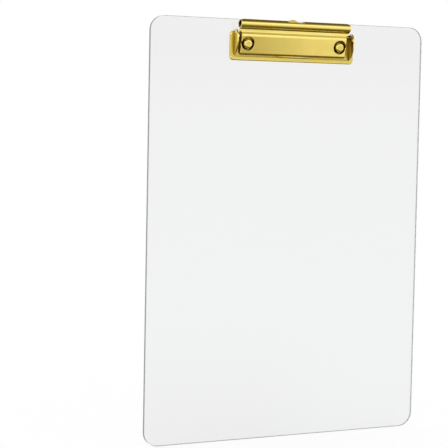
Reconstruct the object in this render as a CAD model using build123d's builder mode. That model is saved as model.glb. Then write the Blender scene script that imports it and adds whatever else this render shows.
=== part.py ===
"""Clear clipboard with a low-profile brass-coloured spring clip.

The board stands upright. +X is the board's right side seen from the front, +Z is up
and the front faces -Y. The origin is the centre of the board's bottom edge.
The clip is drawn by "drop", the distance below the board's top edge, and "rise",
the distance out from the board's front face. All sizes are in millimetres.
"""

from build123d import *
from math import acos, atan2, cos, degrees, hypot, radians, sin
import os

os.makedirs("parts", exist_ok=True)

# Board
BOARD_WIDTH = 228.6
BOARD_HEIGHT = 317.5
BOARD_THICKNESS = 3.0
BOARD_CORNER_RADIUS = 11.0
BOARD_EDGE_BREAK = 0.25
BOARD_FRONT_Y = -BOARD_THICKNESS / 2

# Sheet metal of the clip
SHEET = 0.9

# Base plate
BASE_HALF_WIDTH = 51.8
BASE_TOP_DROP = 8.9
BASE_BOTTOM_DROP = 30.9
BASE_LOWER_CORNER = 3.0
BASE_UPPER_CORNER = 1.2
FLOOR_CORNER = 2.0
BEAD_WIDTH = 2.8
BEAD_RISE = 1.9
BEAD_ROUND = 0.85
EAR_OUTER_X = BASE_HALF_WIDTH - BEAD_WIDTH
EAR_OUTLINE = [(3.4, 7.7), (6.2, 8.7), (8.0, 11.4), (8.6, 14.8), (8.1, 18.6), (6.2, 22.9), (1.5, 27.4)]
HINGE_OPENING_HALF_WIDTH = 45.3
HINGE_OPENING_DROP = 13.2
BOSS_RISE = 3.5
BOSS_RADIUS = 3.6
BOSS_TAPER = 8

# Hinge pin
PIN_DROP = 10.6
PIN_RISE = 2.2
PIN_RADIUS = 0.9
PIN_FIT = 0.05
PIN_END_ROUND = 0.25

# Lever: a drawn tray whose upper edge is curled into a finger roll
LEVER_HALF_WIDTH = 44.4
SIDE_BEND = 1.1
CREST_DROP = 12.2
CREST_RISE = 5.6
CREST_ROUND = 2.5
VALLEY_TOP_DROP = 7.3
VALLEY_FOOT_DROP = 9.5
VALLEY_TOP_RISE = 4.9
VALLEY_FOOT_RISE = 4.6
VALLEY_TOP_ROUND = 0.7
VALLEY_FOOT_ROUND = 2.0
RAMP_SHARE = 0.3
LIP_DROP = 26.5
LIP_RISE = 2.9
LIP_ROUND = 1.3
LIP_GAP = 0.05
FLANGE_RISE = 1.2
LUG_RADIUS = 1.7
ROLL_HALF_LENGTH = 45.7
ROLL_RADIUS = 3.5
ROLL_DROP = 3.7
ROLL_RISE = 5.0
ROLL_END = 230
ROLL_CORNER = 2.8
NECK_DROP = 9.3
NOTCH_WIDTH = 13.6
NOTCH_FRONT_RISE = 7.7
NOTCH_BACK_RISE = 3.4
TOOTH_DEPTH = 0.8
TOOTH_HALF_WIDTH = 6.5
TOOTH_RAMP = 8.0
TOOTH_RISE = 2.3
WINDOW_RADIUS = 5.1
WINDOW_ROUND = 0.35

# Rivets
RIVET_X = 38.6
RIVET_DROP = 18.4
SHANK_RADIUS = 1.5
SHANK_FIT = 0.05
HEAD_RADIUS = 3.5
HEAD_HEIGHT = 1.8
HEAD_RIM = 0.25
WASHER_RADIUS = 4.0
WASHER_THICKNESS = 0.6
WASHER_ROUND = 0.2
TAIL_RADIUS = 2.5
TAIL_HEIGHT = 0.7

# Hanger tongue and the channel it slides in
TONGUE_WIDTH = 12.0
TONGUE_THICKNESS = 0.75
TONGUE_TOP_DROP = -1.1
TONGUE_LENGTH = 24.8
TONGUE_FOOT_WIDTH = 14.6
TONGUE_FOOT_HEIGHT = 1.6
TONGUE_TRAVEL = 8.0
TONGUE_PLAY = 0.1
HANG_HOLE_RADIUS = 2.75
CHANNEL_WALL = 0.9

# Springs
SPRING_X = 22.0
WIRE_RADIUS = 0.3
COIL_RADIUS = 1.25
COIL_PITCH = 0.7
COIL_WHOLE_TURNS = 5
LEVER_LEG_TIP = (3.3, -7.6)
LEVER_LEG_LENGTH = 2.9
BASE_LEG_TIP = (1.45, -17.5)
BASE_LEG_LENGTH = 7.1


def side_plane(x):
    """A plane square to X, with rise to its right and drop downwards."""
    origin = (x, BOARD_FRONT_Y, BOARD_HEIGHT)
    return Plane(origin=origin, x_dir=(0, -1, 0), z_dir=(-1, 0, 0))


def front_plane(rise):
    """A plane parallel to the board's front face, that far out from it."""
    origin = (0, BOARD_FRONT_Y - rise, BOARD_HEIGHT)
    return Plane(origin=origin, x_dir=(1, 0, 0), z_dir=(0, -1, 0))


def rise_and_drop(shape):
    """Where the middle of an edge or face lies, in the clip's own terms."""
    middle = shape.center()
    return BOARD_FRONT_Y - middle.Y, BOARD_HEIGHT - middle.Z


def is_side_bend(edge):
    """True for a side edge of the lever's sloping front, whose bend carries on round crest and lip."""
    rise, drop = rise_and_drop(edge)
    return drop > CREST_DROP and rise > LIP_RISE + SHEET / 2


def is_window_rim(edge):
    """True for an edge of a rivet window that lies on the lever's outer surface."""
    rise, drop = rise_and_drop(edge)
    slope = (CREST_RISE - LIP_RISE) / (LIP_DROP - CREST_DROP)
    front_rise = CREST_RISE - slope * max(0, drop - CREST_DROP)
    return edge.geom_type != GeomType.LINE and front_rise - rise < SHEET / 2


def tangent_angle(point, centre, radius, side):
    """The angle at which a line from the point touches a circle, on one side of it or the other."""
    run = point[0] - centre[0]
    climb = point[1] - centre[1]
    return degrees(atan2(climb, run)) + side * degrees(acos(radius / hypot(run, climb)))


def on_circle(centre, radius, angle):
    """A point of a circle, by its angle in degrees."""
    return (centre[0] + radius * cos(radians(angle)), centre[1] + radius * sin(radians(angle)))


ROLL_CENTRE = (ROLL_RISE, -ROLL_DROP)
ROLL_CENTRE_RADIUS = ROLL_RADIUS - SHEET / 2
PIN_CENTRE = (PIN_RISE, -PIN_DROP)
RIVET_PLACES = [(-RIVET_X, -RIVET_DROP), (RIVET_X, -RIVET_DROP)]
CHANNEL_DEPTH = TONGUE_THICKNESS + 2 * TONGUE_PLAY
TONGUE_BOTTOM_DROP = TONGUE_TOP_DROP + TONGUE_LENGTH
CHANNEL_END_DROP = TONGUE_BOTTOM_DROP + 2 * TONGUE_PLAY
NECK_END_DROP = TONGUE_BOTTOM_DROP - TONGUE_TRAVEL - TONGUE_FOOT_HEIGHT - TONGUE_PLAY

# ---------------------------------------------------------------- board
with BuildPart() as board:
    with BuildSketch(front_plane(0)):
        with Locations((0, -BOARD_HEIGHT / 2)):
            RectangleRounded(BOARD_WIDTH, BOARD_HEIGHT, BOARD_CORNER_RADIUS)
    extrude(amount=-BOARD_THICKNESS)
    chamfer(board.faces().filter_by(Axis.Y).edges(), BOARD_EDGE_BREAK)
    with BuildSketch(front_plane(0)):
        with Locations(*RIVET_PLACES):
            Circle(SHANK_RADIUS + SHANK_FIT)
    extrude(amount=-BOARD_THICKNESS, mode=Mode.SUBTRACT)
board.part.label = "board"

# ---------------------------------------------------------------- base plate
BASE_HEIGHT = BASE_BOTTOM_DROP - BASE_TOP_DROP
BASE_MIDDLE = -(BASE_TOP_DROP + BASE_BOTTOM_DROP) / 2
INNER_HALF_WIDTH = BASE_HALF_WIDTH - BEAD_WIDTH
INNER_BOTTOM_DROP = BASE_BOTTOM_DROP - BEAD_WIDTH

with BuildPart() as base_plate:
    with BuildSketch(front_plane(0)) as base_outline:
        with Locations((0, BASE_MIDDLE)):
            Rectangle(2 * BASE_HALF_WIDTH, BASE_HEIGHT)
        corners = base_outline.vertices().group_by(Axis.Z)
        fillet(corners[0], BASE_LOWER_CORNER)
        fillet(corners[-1], BASE_UPPER_CORNER)
    extrude(amount=BEAD_RISE)
    fillet(base_plate.faces().sort_by(Axis.Y)[0].edges(), BEAD_ROUND)
    with BuildSketch(front_plane(SHEET)) as tray_floor:
        with Locations((0, -BASE_TOP_DROP)):
            Rectangle(
                2 * INNER_HALF_WIDTH,
                INNER_BOTTOM_DROP - BASE_TOP_DROP,
                align=(Align.CENTER, Align.MAX),
            )
        fillet(tray_floor.vertices().group_by(Axis.Z)[0], FLOOR_CORNER)
        # The bead doesn't run along the top, so the tray is cut open there
        with Locations((0, -BASE_TOP_DROP)):
            Rectangle(2 * INNER_HALF_WIDTH, 2 * SHEET)
    extrude(amount=BEAD_RISE, mode=Mode.SUBTRACT)

    # The floor's upper part is open between the ears, under the hinge
    with BuildSketch(front_plane(0)):
        with Locations((0, -BASE_TOP_DROP)):
            Rectangle(
                2 * HINGE_OPENING_HALF_WIDTH,
                HINGE_OPENING_DROP - BASE_TOP_DROP,
                align=(Align.CENTER, Align.MAX),
            )
    extrude(amount=SHEET, mode=Mode.SUBTRACT)

    # Ears that carry the pin, bent up from the side beads' inner edges
    for outer_x in (EAR_OUTER_X, SHEET - EAR_OUTER_X):
        with BuildSketch(side_plane(outer_x)):
            with BuildLine():
                crown = Spline(*[(rise, -drop) for rise, drop in EAR_OUTLINE])
                foot_bottom = (SHEET / 2, -EAR_OUTLINE[-1][1])
                foot_top = (SHEET / 2, -BASE_TOP_DROP)
                Polyline(crown @ 1, foot_bottom, foot_top, crown @ 0)
            make_face()
            with Locations(PIN_CENTRE):
                Circle(PIN_RADIUS + PIN_FIT, mode=Mode.SUBTRACT)
        extrude(amount=SHEET)

    # Raised channel that the hanger tongue slides in, closed at its lower end
    with BuildSketch(front_plane(0)) as channel_cover:
        with Locations((0, -HINGE_OPENING_DROP)):
            Rectangle(
                TONGUE_FOOT_WIDTH + 2 * TONGUE_PLAY + 2 * CHANNEL_WALL,
                CHANNEL_END_DROP + CHANNEL_WALL - HINGE_OPENING_DROP,
                align=(Align.CENTER, Align.MAX),
            )
        fillet(channel_cover.vertices().group_by(Axis.Z)[0], CHANNEL_WALL)
    extrude(amount=CHANNEL_DEPTH + SHEET)
    with BuildSketch(front_plane(0)):
        with Locations((0, -NECK_END_DROP)):
            Rectangle(
                TONGUE_FOOT_WIDTH + 2 * TONGUE_PLAY,
                CHANNEL_END_DROP - NECK_END_DROP,
                align=(Align.CENTER, Align.MAX),
            )
        with Locations((0, -HINGE_OPENING_DROP)):
            Rectangle(
                TONGUE_WIDTH + 2 * TONGUE_PLAY,
                CHANNEL_END_DROP - HINGE_OPENING_DROP,
                align=(Align.CENTER, Align.MAX),
            )
    extrude(amount=CHANNEL_DEPTH, mode=Mode.SUBTRACT)

    # Hollow bosses that lift the rivet heads to the level of the lever's windows
    for depth, mode in ((0, Mode.ADD), (SHEET, Mode.SUBTRACT)):
        with BuildSketch(front_plane(BOSS_RISE - depth)):
            with Locations(*RIVET_PLACES):
                Circle(BOSS_RADIUS - depth)
        extrude(amount=depth - BOSS_RISE, taper=-BOSS_TAPER, mode=mode)

    with BuildSketch(front_plane(0)):
        with Locations(*RIVET_PLACES):
            Circle(SHANK_RADIUS + SHANK_FIT)
    extrude(amount=BOSS_RISE, mode=Mode.SUBTRACT)
base_plate.part.label = "base_plate"

# ---------------------------------------------------------------- lever plate
VALLEY_TOP = (VALLEY_TOP_RISE - SHEET / 2, -VALLEY_TOP_DROP)
VALLEY_FOOT = (VALLEY_FOOT_RISE - SHEET / 2, -VALLEY_FOOT_DROP)
CREST = (CREST_RISE - SHEET / 2, -CREST_DROP)
LIP = (LIP_RISE - SHEET / 2, -LIP_DROP + SHEET / 2)
LIP_FOOT = (SHEET + LIP_GAP, -LIP_DROP + SHEET / 2)
RAMP = tuple(v + RAMP_SHARE * (c - v) for v, c in zip(VALLEY_FOOT, CREST))
ROLL_START = tangent_angle(VALLEY_TOP, ROLL_CENTRE, ROLL_CENTRE_RADIUS, 1)

with BuildPart() as lever_plate:
    # Drawn tray: a solid block with rounded side bends, then hollowed from behind
    with BuildSketch(side_plane(0)):
        with BuildLine():
            plate_line = FilletPolyline(LIP_FOOT, LIP, CREST, RAMP, radius=(LIP_ROUND, CREST_ROUND))
            lug = CenterArc(PIN_CENTRE, LUG_RADIUS, 90, 90)
            Line(plate_line @ 1, lug @ 0)
            Polyline(
                lug @ 1,
                (FLANGE_RISE, -HINGE_OPENING_DROP),
                (FLANGE_RISE, -LIP_DROP + 2 * SHEET),
                (LIP_FOOT[0], -LIP_DROP + SHEET),
                plate_line @ 0,
            )
        make_face()
        trace(plate_line, SHEET)
    extrude(amount=LEVER_HALF_WIDTH, both=True)
    side_edges = lever_plate.faces().filter_by(Axis.X).edges()
    fillet([edge for edge in side_edges if is_side_bend(edge)], SIDE_BEND)
    with BuildSketch(side_plane(0)):
        with BuildLine():
            Polyline(
                plate_line @ 1,
                (RAMP[0], 0),
                (-BEAD_RISE, 0),
                (-BEAD_RISE, LIP_FOOT[1]),
                plate_line @ 0,
            )
            add(plate_line)
        make_face()
        trace(plate_line, SHEET, mode=Mode.SUBTRACT)
    extrude(amount=LEVER_HALF_WIDTH - SHEET, both=True, mode=Mode.SUBTRACT)

    # Wide shallow tooth pressed out of the middle of the lip
    for inset, mode in ((0, Mode.ADD), (SHEET, Mode.SUBTRACT)):
        with BuildSketch(front_plane(LIP_FOOT[0] - inset)):
            edge_height = -LIP_DROP + inset
            with BuildLine():
                Polyline(
                    (-TOOTH_HALF_WIDTH - TOOTH_RAMP, edge_height),
                    (-TOOTH_HALF_WIDTH, edge_height - TOOTH_DEPTH),
                    (TOOTH_HALF_WIDTH, edge_height - TOOTH_DEPTH),
                    (TOOTH_HALF_WIDTH + TOOTH_RAMP, edge_height),
                    close=True,
                )
            make_face()
        extrude(amount=TOOTH_RISE - LIP_FOOT[0], mode=mode)

    # Finger roll: the sheet runs on up, round and down again behind
    with BuildSketch(side_plane(0)):
        with BuildLine():
            roll_start = on_circle(ROLL_CENTRE, ROLL_CENTRE_RADIUS, ROLL_START)
            FilletPolyline(
                RAMP, VALLEY_FOOT, VALLEY_TOP, roll_start, radius=(VALLEY_FOOT_ROUND, VALLEY_TOP_ROUND)
            )
            CenterArc(ROLL_CENTRE, ROLL_CENTRE_RADIUS, ROLL_START, ROLL_END - ROLL_START)
        trace(line_width=SHEET)
    extrude(amount=ROLL_HALF_LENGTH, both=True)

    # The roll's upper corners are rounded off
    roll_top = -ROLL_DROP + ROLL_RADIUS
    with BuildSketch(front_plane(0)):
        with Locations((-ROLL_HALF_LENGTH, roll_top), (ROLL_HALF_LENGTH, roll_top)):
            Rectangle(2 * ROLL_CORNER, 2 * ROLL_CORNER)
        inner_x = ROLL_HALF_LENGTH - ROLL_CORNER
        with Locations((-inner_x, roll_top - ROLL_CORNER), (inner_x, roll_top - ROLL_CORNER)):
            Circle(ROLL_CORNER, mode=Mode.SUBTRACT)
    extrude(amount=4 * ROLL_RADIUS, mode=Mode.SUBTRACT)

    # Below the neck the sheet is only as wide as the tray
    with BuildSketch(front_plane(0)):
        with Locations((-ROLL_HALF_LENGTH, -NECK_DROP), (ROLL_HALF_LENGTH, -NECK_DROP)):
            Rectangle(
                2 * (ROLL_HALF_LENGTH - LEVER_HALF_WIDTH),
                CREST_DROP - NECK_DROP,
                align=(Align.CENTER, Align.MAX),
            )
    extrude(amount=CREST_RISE, mode=Mode.SUBTRACT)

    # The roll's middle is open at the top and back, where the hanger tongue passes
    with BuildSketch(side_plane(0)):
        with Locations((0, -ROLL_DROP)):
            Rectangle(NOTCH_FRONT_RISE, 2 * ROLL_RADIUS, align=(Align.MIN, Align.MIN))
            Rectangle(NOTCH_BACK_RISE, 2 * ROLL_RADIUS, align=(Align.MIN, Align.MAX))
    extrude(amount=NOTCH_WIDTH / 2, both=True, mode=Mode.SUBTRACT)

    # Round windows over the rivets, with softened rims
    with BuildSketch(front_plane(SHEET)):
        with Locations(*RIVET_PLACES):
            Circle(WINDOW_RADIUS)
    extrude(amount=CREST_RISE, mode=Mode.SUBTRACT)
    window_edges = lever_plate.edges(Select.LAST)
    fillet([edge for edge in window_edges if is_window_rim(edge)], WINDOW_ROUND)
    with BuildSketch(side_plane(0)):
        with Locations(PIN_CENTRE):
            Circle(PIN_RADIUS + PIN_FIT)
    extrude(amount=LEVER_HALF_WIDTH, both=True, mode=Mode.SUBTRACT)
lever_plate.part.label = "lever_plate"

# ---------------------------------------------------------------- hinge pin
with BuildPart() as hinge_pin:
    with BuildSketch(side_plane(0)):
        with Locations(PIN_CENTRE):
            Circle(PIN_RADIUS)
    extrude(amount=EAR_OUTER_X, both=True)
    fillet(hinge_pin.edges().filter_by(GeomType.CIRCLE), PIN_END_ROUND)
hinge_pin.part.label = "hinge_pin"

# ---------------------------------------------------------------- hanger tongue
with BuildPart() as hanger_tongue:
    with BuildSketch(front_plane(TONGUE_PLAY)) as tongue_outline:
        with Locations((0, -TONGUE_TOP_DROP - TONGUE_WIDTH / 2)):
            Circle(TONGUE_WIDTH / 2)
            Rectangle(
                TONGUE_WIDTH, TONGUE_LENGTH - TONGUE_WIDTH / 2, align=(Align.CENTER, Align.MAX)
            )
            Circle(HANG_HOLE_RADIUS, mode=Mode.SUBTRACT)
        with Locations((0, -TONGUE_BOTTOM_DROP)):
            Rectangle(
                TONGUE_FOOT_WIDTH, TONGUE_FOOT_HEIGHT, align=(Align.CENTER, Align.MIN)
            )
    extrude(amount=TONGUE_THICKNESS)
hanger_tongue.part.label = "hanger_tongue"

# ---------------------------------------------------------------- rivets and washers
rivets = {}
for name, place in zip(("rivet_left", "rivet_right"), RIVET_PLACES):
    with BuildPart() as rivet:
        with BuildSketch(front_plane(BOSS_RISE)):
            with Locations(place):
                Circle(HEAD_RADIUS)
        extrude(amount=HEAD_HEIGHT)
        fillet(rivet.faces().sort_by(Axis.Y)[0].edges(), HEAD_HEIGHT - HEAD_RIM)
        with BuildSketch(front_plane(BOSS_RISE)):
            with Locations(place):
                Circle(SHANK_RADIUS)
        extrude(amount=-(BOSS_RISE + BOARD_THICKNESS + WASHER_THICKNESS))
        with BuildSketch(front_plane(-BOARD_THICKNESS - WASHER_THICKNESS)):
            with Locations(place):
                Circle(TAIL_RADIUS)
        extrude(amount=-TAIL_HEIGHT)
        fillet(rivet.faces().sort_by(Axis.Y)[-1].edges(), TAIL_HEIGHT - HEAD_RIM)
    rivets[name] = rivet.part

washers = {}
for name, place in zip(("rivet_washer_left", "rivet_washer_right"), RIVET_PLACES):
    with BuildPart() as washer:
        with BuildSketch(front_plane(-BOARD_THICKNESS)):
            with Locations(place):
                Circle(WASHER_RADIUS)
                Circle(SHANK_RADIUS + SHANK_FIT, mode=Mode.SUBTRACT)
        extrude(amount=-WASHER_THICKNESS)
        rim = washer.edges().filter_by(GeomType.CIRCLE).group_by(SortBy.RADIUS)[-1]
        fillet(rim, WASHER_ROUND)
    washers[name] = washer.part

# ---------------------------------------------------------------- torsion springs
COIL_START = tangent_angle(LEVER_LEG_TIP, PIN_CENTRE, COIL_RADIUS, -1)
COIL_END = tangent_angle(BASE_LEG_TIP, PIN_CENTRE, COIL_RADIUS, 1)
COIL_LENGTH = COIL_PITCH * (COIL_WHOLE_TURNS + (COIL_START - COIL_END) / 360)
WINDING = (1, 0, 0)

springs = {}
for name, middle_x in (("torsion_spring_left", -SPRING_X), ("torsion_spring_right", SPRING_X)):
    end_plane = side_plane(middle_x - COIL_LENGTH / 2)
    pin_point = end_plane.from_local_coords((*PIN_CENTRE, 0))
    helix = Helix(COIL_PITCH, COIL_LENGTH, COIL_RADIUS, pin_point, WINDING, mode=Mode.PRIVATE)
    first = end_plane.to_local_coords(helix @ 0) - Vector(*PIN_CENTRE)
    coil = helix.rotate(Axis(pin_point, WINDING), degrees(atan2(first.Y, first.X)) - COIL_START)
    lever_leg_tip = coil @ 0 - coil % 0 * LEVER_LEG_LENGTH
    base_leg_tip = coil @ 1 + coil % 1 * BASE_LEG_LENGTH
    with BuildPart() as spring:
        with BuildLine() as wire:
            Line(lever_leg_tip, coil @ 0)
            add(coil)
            Line(coil @ 1, base_leg_tip)
        with BuildSketch(Plane(origin=lever_leg_tip, z_dir=coil % 0)):
            Circle(WIRE_RADIUS)
        sweep(path=wire.wires()[0])
    springs[name] = spring.part

for piece in (board, base_plate, lever_plate, hinge_pin, hanger_tongue):
    export_step(piece.part, f"parts/{piece.part.label}.step")
for name, piece in {**rivets, **washers, **springs}.items():
    piece.label = name
    export_step(piece, f"parts/{name}.step")
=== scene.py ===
from math import radians

import bpy
from mathutils import Euler, Matrix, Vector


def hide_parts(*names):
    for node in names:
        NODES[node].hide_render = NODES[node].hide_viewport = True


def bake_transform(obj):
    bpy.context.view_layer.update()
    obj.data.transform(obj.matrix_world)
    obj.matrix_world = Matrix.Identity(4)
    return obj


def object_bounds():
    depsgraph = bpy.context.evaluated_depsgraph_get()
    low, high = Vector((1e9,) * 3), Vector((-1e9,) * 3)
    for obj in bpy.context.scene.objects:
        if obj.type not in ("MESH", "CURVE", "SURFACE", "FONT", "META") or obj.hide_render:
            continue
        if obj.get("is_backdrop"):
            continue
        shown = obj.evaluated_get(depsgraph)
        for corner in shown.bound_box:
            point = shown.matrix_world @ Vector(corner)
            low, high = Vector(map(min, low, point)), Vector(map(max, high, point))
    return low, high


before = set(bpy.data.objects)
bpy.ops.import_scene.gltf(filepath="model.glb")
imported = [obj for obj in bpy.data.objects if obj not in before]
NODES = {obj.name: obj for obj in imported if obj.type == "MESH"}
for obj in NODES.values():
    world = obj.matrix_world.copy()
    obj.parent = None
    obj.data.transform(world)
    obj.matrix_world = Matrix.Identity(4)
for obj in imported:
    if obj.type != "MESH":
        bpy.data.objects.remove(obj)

CAD_LOW, CAD_HIGH = (corner.copy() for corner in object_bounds())

# Lengths are in metres, and colours are linear.
AIR_GAP = 0.00004
GAP_REACH = 0.006
GOLD = (0.95, 0.785, 0.25)
# Painted shade: a darker copy of the gold, given to the hanger tongue to stand in for the shade it sits in.
SHADED_TONGUE_GOLD = (0.75, 0.58, 0.16)
# Painted shade: the dark brown laid into the gold where ambient occlusion finds gaps and recesses.
GAP_SHADE_BROWN = (0.21, 0.145, 0.02)
WARMER = 0.95
ACRYLIC = (0.875, 0.88, 0.885)
ACRYLIC_IOR = 1.49
EDGE_DARK = (0.36, 0.365, 0.37)
EDGE_PALE = (0.5, 0.505, 0.51)
EDGE_CLEARNESS = 0.35
EDGE_ROUGHNESS = 0.25
STEEL_DARK = (0.42, 0.42, 0.44)
STEEL_PALE = (0.62, 0.61, 0.6)
FINE_BUMP = 0.00002
WHITE = (1, 1, 1)

FLOOR_REACH = 30
FLOOR_DARK = (0.9, 0.9, 0.9)
FLOOR_PALE = (0.92, 0.92, 0.92)
FLOOR_LIT_SHARE = 0.1

# How bright the mirrored studio is, by height: 0 is straight down, 0.5 the horizon and 1 straight up.
STUDIO_BANDS = [
    (0.0, 0.25),
    (0.06, 0.12),
    (0.19, 0.18),
    (0.25, 0.36),
    (0.3, 0.5),
    (0.35, 0.72),
    (0.42, 0.97),
    (0.5, 0.8),
    (0.525, 0.42),
    (0.545, 0.6),
    (0.6, 1.15),
    (0.76, 0.9),
    (0.81, 0.5),
    (0.87, 0.22),
    (0.96, 0.06),
    (0.985, 0.4),
    (1.0, 0.7),
]
# How much of that is left, by turn: 0 and 1 are behind the board, 0.25 is its left, 0.5 its front
# and 0.75 its right.
STUDIO_SWEEP = [
    (0.0, 0.3),
    (0.125, 0.6),
    (0.25, 1.0),
    (0.44, 1.0),
    (0.53, 0.6),
    (0.571, 0.42),
    (0.58, 1.1),
    (0.6, 1.1),
    (0.63, 0.8),
    (0.75, 0.6),
    (0.9, 0.35),
    (1.0, 0.3),
]
SWEEP_BELOW = (-0.12, -0.3)
SWEEP_BEHIND = (0.1, 0.5)
MIRROR_STRENGTH = 1.25
FILL_STRENGTH = 1.12

CAMERA_PLACE = (-0.46236, -0.93195, 0.24627)
CAMERA_DOWN = radians(3.483)
CAMERA_RIGHT = radians(23.708)
CAMERA_ROLL = radians(1.1446)
CAMERA_LENS = 109.6
CAMERA_SENSOR = 36
CAMERA_SHIFT = -0.0592
CAMERA_REACH = 100

# The Mix node's colour sockets, which share their names with its other sockets.
MIX_FIRST, MIX_SECOND, MIX_RESULT = 6, 7, 2


# ---------------------------------------------------------------- node helpers
class Shader:
    """A small builder for one node tree: add nodes by type, then link them."""

    def __init__(self, tree):
        self.tree = tree
        self.tree.nodes.clear()

    def node(self, kind, inputs=None, **settings):
        """Adds a node. Inputs holds socket values, or other nodes' outputs to link."""
        made = self.tree.nodes.new(kind)
        for name, value in settings.items():
            setattr(made, name, value)
        for socket, value in (inputs or {}).items():
            if isinstance(value, bpy.types.NodeSocket):
                self.tree.links.new(value, made.inputs[socket])
            else:
                made.inputs[socket].default_value = value
        return made

    def maths(self, operation, *values):
        """A Math node's output."""
        return self.node("ShaderNodeMath", dict(enumerate(values)), operation=operation).outputs[0]

    def stretch(self, value, low, high, to_low=0.0, to_high=1.0, smooth=False):
        """A value carried from one range to another, held at both ends."""
        kind = "SMOOTHSTEP" if smooth else "LINEAR"
        inputs = {"Value": value, "From Min": low, "From Max": high, "To Min": to_low, "To Max": to_high}
        return self.node("ShaderNodeMapRange", inputs, interpolation_type=kind).outputs["Result"]

    def noise(self, scale, detail=2.0, stretched=(1, 1, 1)):
        """Noise in the part's own space, scale given in features per metre."""
        place = self.node("ShaderNodeTexCoord").outputs["Object"]
        squeezed = self.node("ShaderNodeMapping", {"Vector": place, "Scale": stretched}).outputs[0]
        inputs = {"Vector": squeezed, "Scale": scale, "Detail": detail}
        return self.node("ShaderNodeTexNoise", inputs).outputs["Fac"]

    def facing(self):
        """How far the real face, without bump, looks towards the board's back."""
        normal = self.node("ShaderNodeNewGeometry").outputs["True Normal"]
        return self.node("ShaderNodeSeparateXYZ", {"Vector": normal}).outputs["Y"]

    def ramp(self, value, stops):
        """A colour ramp through (position, colour) stops."""
        made = self.node("ShaderNodeValToRGB", {"Fac": value})
        elements = made.color_ramp.elements
        for position, _ in stops[len(elements):]:
            elements.new(position)
        for element, (position, colour) in zip(elements, stops):
            element.position = position
            element.color = (*colour, 1)
        return made.outputs["Color"]

    def blend(self, factor, first, second, how="MIX"):
        """One colour mixed into another."""
        made = self.node("ShaderNodeMix", {"Factor": factor}, data_type="RGBA", blend_type=how)
        for index, value in ((MIX_FIRST, first), (MIX_SECOND, second)):
            socket = made.inputs[index]
            if isinstance(value, bpy.types.NodeSocket):
                self.tree.links.new(value, socket)
            else:
                socket.default_value = (*value, 1)
        return made.outputs[MIX_RESULT]

    def bump(self, height, distance, normal=None):
        """A Bump node's normal, laid over another one if that is given."""
        inputs = {"Height": height, "Distance": distance}
        if normal is not None:
            inputs["Normal"] = normal
        return self.node("ShaderNodeBump", inputs).outputs["Normal"]


def new_material(name):
    """An empty node material and the builder for it."""
    material = bpy.data.materials.new(name)
    material.use_nodes = True
    return material, Shader(material.node_tree)


def finish_material(shader, surface):
    """Joins a surface shader to the material's output."""
    shader.node("ShaderNodeOutputMaterial", {"Surface": surface.outputs[0]})


# ---------------------------------------------------------------- materials
def plated_gold(name, roughness, scratches, waviness=0.0, tone=GOLD):
    """Polished gold plating: soft waves in the sheet, fine drawing lines along X, and painted shade in the
    gaps, a dark brown laid in by ambient occlusion.

    Faces that lie against the board get no painted shade, so that the clip's back shows gold through it.
    """
    material, s = new_material(name)
    cloud = s.noise(90, detail=3)
    lines = s.noise(900, stretched=(0.03, 1, 1))
    wave = s.noise(24, detail=1, stretched=(0.6, 1, 1))
    warmer = tuple(channel * WARMER for channel in tone)
    unshaded = s.blend(s.stretch(cloud, 0.35, 0.7), tone, warmer)
    # Painted shade: darkens the colour in gaps and recesses by ambient occlusion, patchy by noise.
    openness = s.node("ShaderNodeAmbientOcclusion", {"Distance": GAP_REACH}, samples=8).outputs["AO"]
    exposed = s.stretch(s.facing(), 0.9, 0.6)
    patchy = s.maths("MULTIPLY", exposed, s.stretch(cloud, 0.3, 0.5, 0.8, 1.0))
    gap_shade = s.maths("MULTIPLY", s.stretch(openness, 0.85, 0.35), patchy)
    colour = s.blend(gap_shade, unshaded, GAP_SHADE_BROWN)
    rough = s.stretch(s.maths("ADD", cloud, lines), 0.7, 1.3, roughness * 0.8, roughness * 1.3)
    normal = s.bump(lines, scratches, s.bump(wave, waviness))
    surface = s.node(
        "ShaderNodeBsdfPrincipled",
        {"Base Color": colour, "Metallic": 1.0, "Roughness": rough, "Normal": normal},
    )
    finish_material(s, surface)
    return material


def spring_steel(name):
    """Drawn spring wire, a little oily."""
    material, s = new_material(name)
    cloud = s.noise(700, detail=3)
    colour = s.blend(cloud, STEEL_DARK, STEEL_PALE)
    rough = s.stretch(cloud, 0.3, 0.7, 0.22, 0.38)
    surface = s.node(
        "ShaderNodeBsdfPrincipled",
        {"Base Color": colour, "Metallic": 1.0, "Roughness": rough, "Normal": s.bump(cloud, FINE_BUMP)},
    )
    finish_material(s, surface)
    return material


def clear_acrylic(name):
    """Clear cast sheet, a faint grey in the mass, whose sawn and flame-polished edges are cloudier."""
    material, s = new_material(name)
    edge = s.stretch(s.maths("ABSOLUTE", s.facing()), 0.95, 0.5)
    haze = s.noise(40, detail=3)
    saw = s.noise(1500, stretched=(1, 0.15, 1))
    colour = s.blend(edge, ACRYLIC, s.blend(saw, EDGE_DARK, EDGE_PALE))
    hazed = s.stretch(haze, 0.4, 0.7, 0.0, 0.03)
    rough = s.maths("ADD", hazed, s.maths("MULTIPLY", edge, EDGE_ROUGHNESS))
    height = s.maths("ADD", haze, s.maths("MULTIPLY", saw, edge))
    surface = s.node(
        "ShaderNodeBsdfPrincipled",
        {
            "Base Color": colour,
            "Roughness": rough,
            "IOR": ACRYLIC_IOR,
            "Transmission Weight": s.stretch(edge, 0.0, 1.0, 1.0, EDGE_CLEARNESS),
            "Normal": s.bump(height, FINE_BUMP),
        },
    )
    finish_material(s, surface)
    return material


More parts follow.
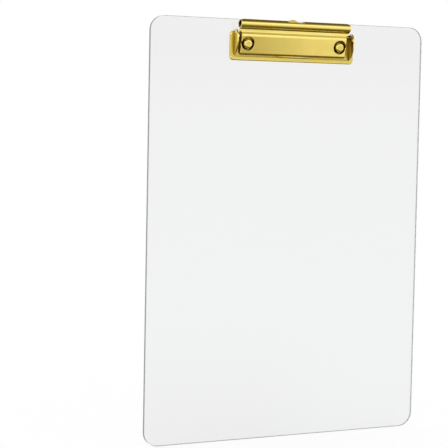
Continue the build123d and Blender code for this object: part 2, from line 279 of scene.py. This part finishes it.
def dress_the_nodes():
    """Gives every CAD node its material."""
    looks = {
        "board": clear_acrylic("clear_acrylic"),
        "base_plate": plated_gold("gold_base", roughness=0.15, scratches=0.000004, waviness=0.0001),
        "lever_plate": plated_gold("gold_lever", roughness=0.14, scratches=0.000003, waviness=0.0001),
        "hinge_pin": plated_gold("gold_pin", roughness=0.2, scratches=0.000006),
        "rivet_left": plated_gold("gold_rivet", roughness=0.16, scratches=0.000003),
        "rivet_washer_left": plated_gold("gold_washer", roughness=0.24, scratches=0.000006),
        # Painted shade: the tongue gets the darker copy of the gold.
        "hanger_tongue": plated_gold("gold_tongue", roughness=0.2, scratches=0.000006, tone=SHADED_TONGUE_GOLD),
        "torsion_spring_left": spring_steel("spring_steel"),
    }
    for twin in ("rivet", "rivet_washer", "torsion_spring"):
        looks[twin + "_right"] = looks[twin + "_left"]
    for node, look in looks.items():
        for slot in NODES[node].material_slots:
            slot.material = look


def clear_of_the_metal():
    """Draws the board in by a hair, so that light passes between its faces and the metal resting on them."""
    inset = NODES["board"].modifiers.new("air_gap", "DISPLACE")
    inset.mid_level = 0.0
    inset.strength = -AIR_GAP


# ---------------------------------------------------------------- springs
def sprung(side):
    """A plain copy of a torsion spring's mesh, shown in place of the CAD node, which is hidden."""
    node = NODES["torsion_spring_" + side]
    wire = bpy.data.objects.new("spring_wire_" + side, node.data.copy())
    bpy.context.scene.collection.objects.link(wire)
    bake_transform(wire)
    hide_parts(node.name)


# ---------------------------------------------------------------- floor and light
def white_floor():
    """A plain pale floor under the object, mostly glowing, so that it stays white under the board."""
    mesh = bpy.data.meshes.new("floor")
    reach = FLOOR_REACH
    corners = [(-reach, -reach, 0), (reach, -reach, 0), (reach, reach, 0), (-reach, reach, 0)]
    mesh.from_pydata(corners, [], [(0, 1, 2, 3)])
    floor = bpy.data.objects.new("floor", mesh)
    bpy.context.scene.collection.objects.link(floor)
    material, s = new_material("floor_white")
    lit = s.node("ShaderNodeBsdfDiffuse", {"Color": s.blend(s.noise(3), FLOOR_DARK, FLOOR_PALE)})
    glow = s.node("ShaderNodeEmission", {"Color": (*WHITE, 1), "Strength": 1.0})
    surface = s.node("ShaderNodeMixShader", {"Fac": FLOOR_LIT_SHARE, 1: glow.outputs[0], 2: lit.outputs[0]})
    finish_material(s, surface)
    mesh.materials.append(material)
    floor.visible_glossy = False
    floor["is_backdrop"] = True


def warm(grey):
    """A grey that turns to brown as it darkens."""
    if grey >= 1:
        return (grey, grey, grey)
    return (grey, grey * (0.8 + 0.2 * grey), grey ** 1.8)


def mirrored_studio(s):
    """What polished metal mirrors: softboxes above and below a darker horizon, under a dark ceiling."""
    direction = s.node("ShaderNodeTexCoord").outputs["Generated"]
    along = s.node("ShaderNodeSeparateXYZ", {"Vector": direction}).outputs
    bands = s.ramp(s.stretch(along["Z"], -1, 1), [(height, warm(grey)) for height, grey in STUDIO_BANDS])
    turn = s.maths("ARCTAN2", along["X"], s.maths("MULTIPLY", along["Y"], -1.0))
    turned = s.stretch(turn, radians(-180), radians(180))
    sweep = s.ramp(turned, [(place, warm(grey)) for place, grey in STUDIO_SWEEP])
    below = s.stretch(along["Z"], *SWEEP_BELOW, smooth=True)
    behind = s.stretch(along["Y"], *SWEEP_BEHIND, smooth=True)
    uneven = s.blend(s.maths("MAXIMUM", below, behind), WHITE, sweep)
    return s.blend(1.0, bands, uneven, how="MULTIPLY")


def studio_world():
    """Soft white light all round, except that mirror reflections see the graded studio instead."""
    world = bpy.data.worlds.new("studio")
    bpy.context.scene.world = world
    world.use_nodes = True
    s = Shader(world.node_tree)
    mirror = s.node("ShaderNodeBackground", {"Color": mirrored_studio(s), "Strength": MIRROR_STRENGTH})
    ray = s.node("ShaderNodeLightPath").outputs
    mirrored = s.maths("MULTIPLY", ray["Is Glossy Ray"], s.maths("SUBTRACT", 1.0, ray["Is Transmission Ray"]))
    fill = s.stretch(ray["Is Diffuse Ray"], 0.0, 1.0, 1.0, FILL_STRENGTH)
    plain = s.node("ShaderNodeBackground", {"Color": (*WHITE, 1), "Strength": fill})
    chosen = s.node("ShaderNodeMixShader", {"Fac": mirrored, 1: plain.outputs[0], 2: mirror.outputs[0]})
    s.node("ShaderNodeOutputWorld", {"Surface": chosen.outputs[0]})


# ---------------------------------------------------------------- camera
def set_camera():
    """A long lens a little to the left of the board, a little below its clip."""
    data = bpy.data.cameras.new("camera")
    data.lens = CAMERA_LENS
    data.sensor_width = CAMERA_SENSOR
    data.shift_y = CAMERA_SHIFT
    data.clip_end = CAMERA_REACH
    camera = bpy.data.objects.new("camera", data)
    bpy.context.scene.collection.objects.link(camera)
    aim = Euler((radians(90) - CAMERA_DOWN, 0, -CAMERA_RIGHT)).to_matrix().to_4x4()
    roll = Matrix.Rotation(CAMERA_ROLL, 4, "Z")
    camera.matrix_world = Matrix.Translation(CAMERA_PLACE) @ aim @ roll
    bpy.context.scene.camera = camera


dress_the_nodes()
clear_of_the_metal()
for side in ("left", "right"):
    sprung(side)
white_floor()
studio_world()
set_camera()
bpy.context.scene.view_settings.view_transform = "Standard"
bpy.context.scene.view_settings.look = "None"
